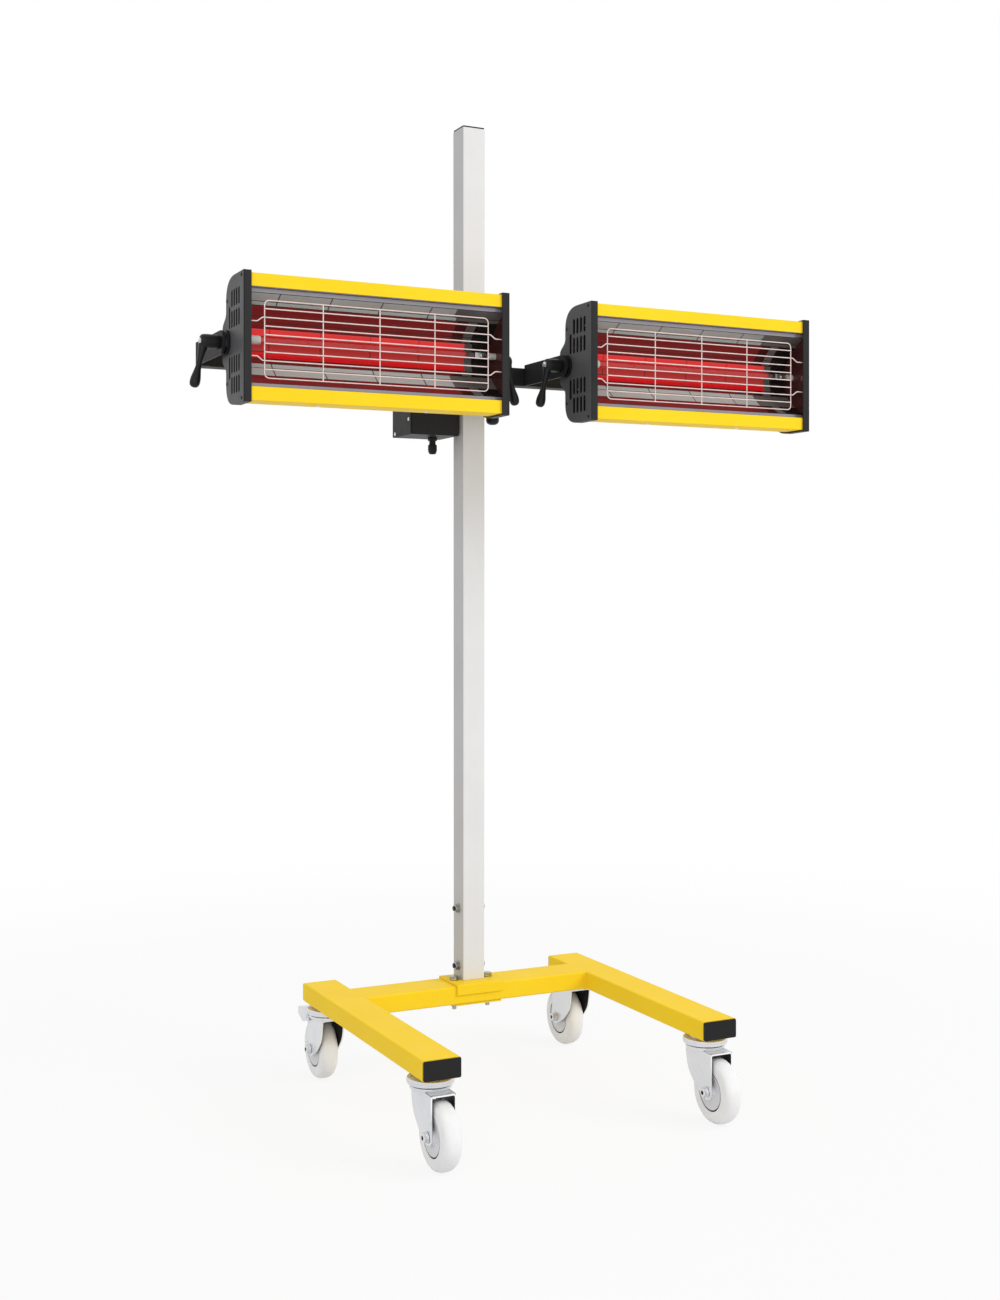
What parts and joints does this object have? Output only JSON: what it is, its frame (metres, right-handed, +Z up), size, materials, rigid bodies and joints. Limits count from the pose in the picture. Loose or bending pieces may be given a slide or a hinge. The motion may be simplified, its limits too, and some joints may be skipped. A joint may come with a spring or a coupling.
{
  "type": "infrared paint curing lamp",
  "caption": "Rolling infrared paint curing lamp: twin tilting cassettes with wire guards on a turning yoke, height-adjustable on a square post with an H-shaped caster base.",
  "frame": {"origin": "on the floor under the middle of the caster base", "axes": "+Z up along the post, -Y the way the lamps face, +X to the right for someone in front of the lamps who looks at them"},
  "size_m": [1.09, 0.593, 1.6069],
  "materials": {
    "yellow_paint": "semi-gloss powder coat",
    "black_paint": "satin powder coat",
    "black_plastic": "satin moulded",
    "aluminium": "satin anodised",
    "zinc_plate": "bright zinc plated",
    "zinc_steel": "zinc plated",
    "nylon": "smooth moulded",
    "polished_reflector": "polished",
    "quartz": "glowing ruby quartz",
    "guard_wire": "bright plated wire"
  },
  "bodies": {
    "base": {"left_leg": "yellow_paint", "right_leg": "yellow_paint", "base_crossbar": "yellow_paint", "leg_plug_front_left": "black_plastic", "leg_plug_rear_left": "black_plastic", "leg_plug_front_right": "black_plastic", "leg_plug_rear_right": "black_plastic", "post_saddle": "yellow_paint", "saddle_clamp_plate": "yellow_paint", "saddle_bolt_left": "zinc_steel", "saddle_bolt_right": "zinc_steel", "post": "aluminium", "post_cap": "black_plastic", "post_bolt_lower": "zinc_steel", "post_bolt_upper": "zinc_steel", "caster_raceway_front_left": "zinc_plate", "caster_raceway_front_right": "zinc_plate", "caster_raceway_rear_left": "zinc_plate", "caster_raceway_rear_right": "zinc_plate"},
    "caster_front_left": {"caster_fork_front_left": "zinc_plate", "caster_axle_front_left": "zinc_steel"},
    "wheel_front_left": {"caster_wheel_front_left": "nylon"},
    "caster_front_right": {"caster_fork_front_right": "zinc_plate", "caster_axle_front_right": "zinc_steel"},
    "wheel_front_right": {"caster_wheel_front_right": "nylon"},
    "caster_rear_left": {"caster_fork_rear_left": "zinc_plate", "caster_axle_rear_left": "zinc_steel"},
    "wheel_rear_left": {"caster_wheel_rear_left": "nylon"},
    "pedal_rear_left": {"brake_pedal_rear_left": "zinc_plate"},
    "caster_rear_right": {"caster_fork_rear_right": "zinc_plate", "caster_axle_rear_right": "zinc_steel"},
    "wheel_rear_right": {"caster_wheel_rear_right": "nylon"},
    "pedal_rear_right": {"brake_pedal_rear_right": "zinc_plate"},
    "carriage": {"carriage_sleeve": "black_paint", "control_box_body": "black_paint", "control_box_lid": "black_paint", "cable_gland": "black_plastic"},
    "slide_lever": {"carriage_lever": "black_plastic"},
    "switch": {"lamp_switch": "black_plastic"},
    "yoke": {"cross_tube": "black_paint", "left_lamp_arm_outer": "black_paint", "left_lamp_arm_inner": "black_paint", "right_lamp_arm_outer": "black_paint", "right_lamp_arm_inner": "black_paint"},
    "left_lamp": {"left_lamp_housing": "yellow_paint", "left_lamp_reflector": "polished_reflector", "left_lamp_emitter": "quartz", "left_lamp_guard": "guard_wire", "left_lamp_end_cap_left": "black_paint", "left_lamp_end_cap_right": "black_paint"},
    "left_lamp_left_lever": {"left_lamp_lever_left": "black_plastic"},
    "left_lamp_right_lever": {"left_lamp_lever_right": "black_plastic"},
    "right_lamp": {"right_lamp_housing": "yellow_paint", "right_lamp_reflector": "polished_reflector", "right_lamp_emitter": "quartz", "right_lamp_guard": "guard_wire", "right_lamp_end_cap_left": "black_paint", "right_lamp_end_cap_right": "black_paint"},
    "right_lamp_left_lever": {"right_lamp_lever_left": "black_plastic"},
    "right_lamp_right_lever": {"right_lamp_lever_right": "black_plastic"}
  },
  "joints": [
    {"name": "swivel_front_left", "type": "hinge", "parent": "base", "child": "caster_front_left", "pos_m": [-0.234, -0.213, 0.117], "axis": [0, 0, 1], "continuous": true},
    {"name": "roll_front_left", "type": "hinge", "parent": "caster_front_left", "child": "wheel_front_left", "pos_m": [-0.234, -0.2465, 0.05], "axis": [1, 0, 0], "continuous": true},
    {"name": "swivel_front_right", "type": "hinge", "parent": "base", "child": "caster_front_right", "pos_m": [0.234, -0.213, 0.117], "axis": [0, 0, 1], "continuous": true},
    {"name": "roll_front_right", "type": "hinge", "parent": "caster_front_right", "child": "wheel_front_right", "pos_m": [0.234, -0.2465, 0.05], "axis": [1, 0, 0], "continuous": true},
    {"name": "swivel_rear_left", "type": "hinge", "parent": "base", "child": "caster_rear_left", "pos_m": [-0.234, 0.213, 0.117], "axis": [0, 0, 1], "continuous": true},
    {"name": "roll_rear_left", "type": "hinge", "parent": "caster_rear_left", "child": "wheel_rear_left", "pos_m": [-0.234, 0.2465, 0.05], "axis": [1, 0, 0], "continuous": true},
    {"name": "brake_rear_left", "type": "hinge", "parent": "caster_rear_left", "child": "pedal_rear_left", "pos_m": [-0.234, 0.25, 0.104], "axis": [-1, 0, 0], "range_deg": [0, 12]},
    {"name": "swivel_rear_right", "type": "hinge", "parent": "base", "child": "caster_rear_right", "pos_m": [0.234, 0.213, 0.117], "axis": [0, 0, 1], "continuous": true},
    {"name": "roll_rear_right", "type": "hinge", "parent": "caster_rear_right", "child": "wheel_rear_right", "pos_m": [0.234, 0.2465, 0.05], "axis": [1, 0, 0], "continuous": true},
    {"name": "brake_rear_right", "type": "hinge", "parent": "caster_rear_right", "child": "pedal_rear_right", "pos_m": [0.234, 0.25, 0.104], "axis": [-1, 0, 0], "range_deg": [0, 12]},
    {"name": "height", "type": "slide", "parent": "base", "child": "carriage", "axis": [0, 0, 1], "range_m": [-0.78, 0.34]},
    {"name": "slide_clamp", "type": "hinge", "parent": "carriage", "child": "slide_lever", "pos_m": [0.0305, 0.1575, 1.1725], "axis": [1, 0, 0], "range_deg": [0, 90]},
    {"name": "switch_rock", "type": "hinge", "parent": "carriage", "child": "switch", "pos_m": [-0.0676, 0.22675, 1.145], "axis": [1, 0, 0], "range_deg": [-12, 12]},
    {"name": "yoke_swivel", "type": "hinge", "parent": "carriage", "child": "yoke", "pos_m": [0, 0.1, 1.178], "axis": [0, 1, 0], "range_deg": [0, 90]},
    {"name": "left_tilt", "type": "hinge", "parent": "yoke", "child": "left_lamp", "pos_m": [-0.28, -0.0611, 1.1805], "axis": [1, 0, 0], "range_deg": [-120, 120]},
    {"name": "left_tilt_clamp_left", "type": "hinge", "parent": "left_lamp", "child": "left_lamp_left_lever", "pos_m": [-0.5, -0.0611, 1.1805], "axis": [1, 0, 0], "range_deg": [0, 90]},
    {"name": "left_tilt_clamp_right", "type": "hinge", "parent": "left_lamp", "child": "left_lamp_right_lever", "pos_m": [-0.06, -0.0611, 1.1805], "axis": [1, 0, 0], "range_deg": [0, 90]},
    {"name": "right_tilt", "type": "hinge", "parent": "yoke", "child": "right_lamp", "pos_m": [0.28, -0.0611, 1.1805], "axis": [1, 0, 0], "range_deg": [-120, 120]},
    {"name": "right_tilt_clamp_left", "type": "hinge", "parent": "right_lamp", "child": "right_lamp_left_lever", "pos_m": [0.06, -0.0611, 1.1805], "axis": [1, 0, 0], "range_deg": [0, 90]},
    {"name": "right_tilt_clamp_right", "type": "hinge", "parent": "right_lamp", "child": "right_lamp_right_lever", "pos_m": [0.5, -0.0611, 1.1805], "axis": [1, 0, 0], "range_deg": [0, 90]}
  ]
}
